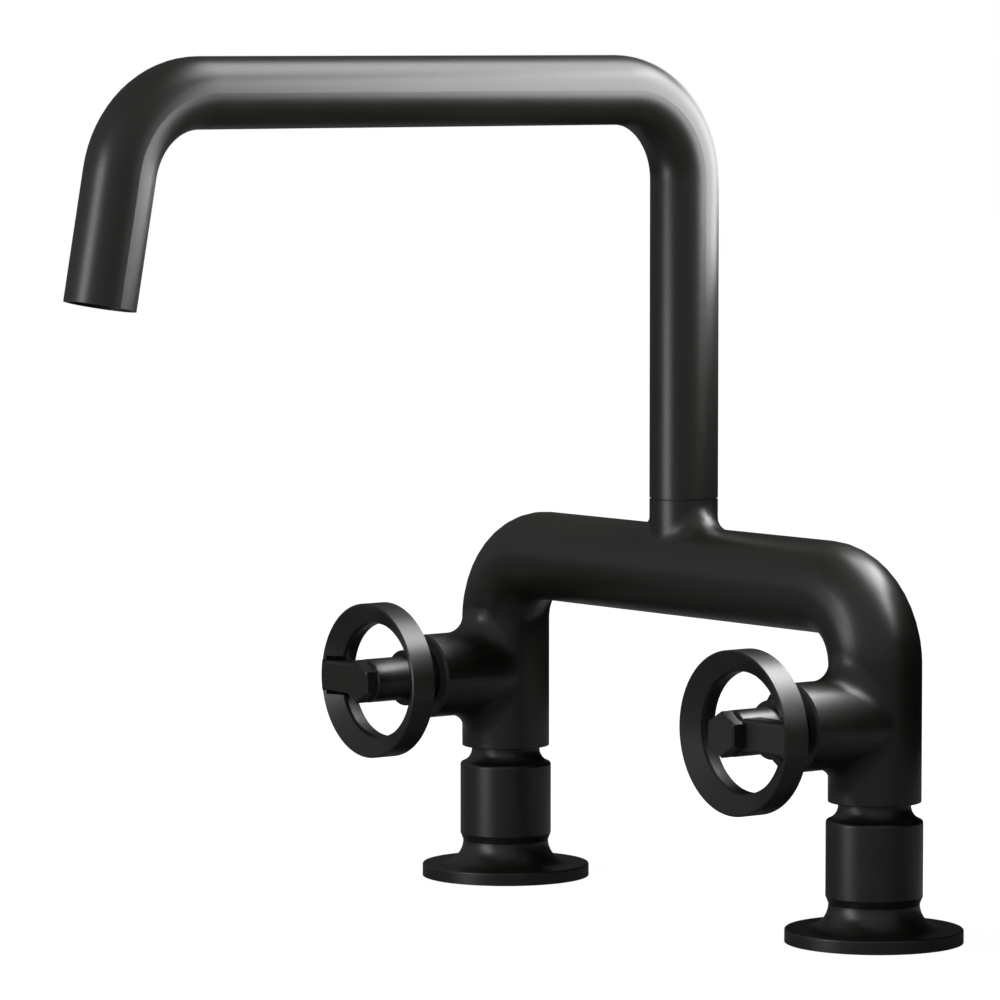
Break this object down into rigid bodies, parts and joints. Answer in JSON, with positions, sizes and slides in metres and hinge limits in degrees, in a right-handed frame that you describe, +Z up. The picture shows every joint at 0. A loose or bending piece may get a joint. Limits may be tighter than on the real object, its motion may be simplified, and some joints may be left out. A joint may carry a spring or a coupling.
{
  "type": "bridge kitchen faucet",
  "caption": "Matte black bridge kitchen faucet: tubular bridge on deck legs, swivelling squared spout and small spoked wheel handles with hexagon caps.",
  "frame": {"origin": "on the top of the deck, midway between the two deck holes", "axes": "+Z up; -Y towards the user, the way the spout points; +X to the user's right, from the hot leg to the cold leg"},
  "size_m": [0.2638, 0.2869, 0.3618],
  "materials": {
    "black_coat": "satin",
    "brass": "machined",
    "ceramic": "lapped ceramic",
    "rubber": "matte",
    "fibre": "matte",
    "seal_plastic": "matte",
    "dark_plastic": "matte",
    "screw_steel": "brushed"
  },
  "bodies": {
    "bridge": {"bridge_body": "black_coat", "thrust_washer": "seal_plastic", "spout_screw": "screw_steel", "left_deck_flange": "black_coat", "left_deck_gasket": "rubber", "left_shank": "brass", "left_deck_washer": "rubber", "left_locknut": "brass", "left_union": "black_coat", "left_union_seal": "fibre", "left_neck_ring": "rubber", "left_leg_screw": "screw_steel", "left_seat_seal": "rubber", "left_cartridge": "brass", "left_fixed_disc": "ceramic", "left_bonnet": "black_coat", "right_deck_flange": "black_coat", "right_deck_gasket": "rubber", "right_shank": "brass", "right_deck_washer": "rubber", "right_locknut": "brass", "right_union": "black_coat", "right_union_seal": "fibre", "right_neck_ring": "rubber", "right_leg_screw": "screw_steel", "right_seat_seal": "rubber", "right_cartridge": "brass", "right_fixed_disc": "ceramic", "right_bonnet": "black_coat"},
    "spout": {"spout_tube": "black_coat", "swivel_spigot": "brass", "spigot_rings": "rubber", "outlet_sleeve": "brass", "aerator_housing": "dark_plastic", "aerator_grid": "dark_plastic", "aerator_washer": "rubber"},
    "left_handle": {"left_turning_disc": "ceramic", "left_spindle": "brass", "left_spindle_ring": "rubber", "left_hub": "black_coat", "left_rim": "black_coat", "left_cap_nut": "black_coat"},
    "right_handle": {"right_turning_disc": "ceramic", "right_spindle": "brass", "right_spindle_ring": "rubber", "right_hub": "black_coat", "right_rim": "black_coat", "right_cap_nut": "black_coat"}
  },
  "joints": [
    {"name": "spout_swivel", "type": "hinge", "parent": "bridge", "child": "spout", "pos_m": [0, 0, 0.144], "axis": [0, 0, 1], "continuous": true},
    {"name": "left_valve_turn", "type": "hinge", "parent": "bridge", "child": "left_handle", "pos_m": [-0.1016, -0.055, 0.0754], "axis": [0, -1, 0], "range_deg": [0, 90]},
    {"name": "right_valve_turn", "type": "hinge", "parent": "bridge", "child": "right_handle", "pos_m": [0.1016, -0.055, 0.0754], "axis": [0, 1, 0], "range_deg": [0, 90]}
  ]
}
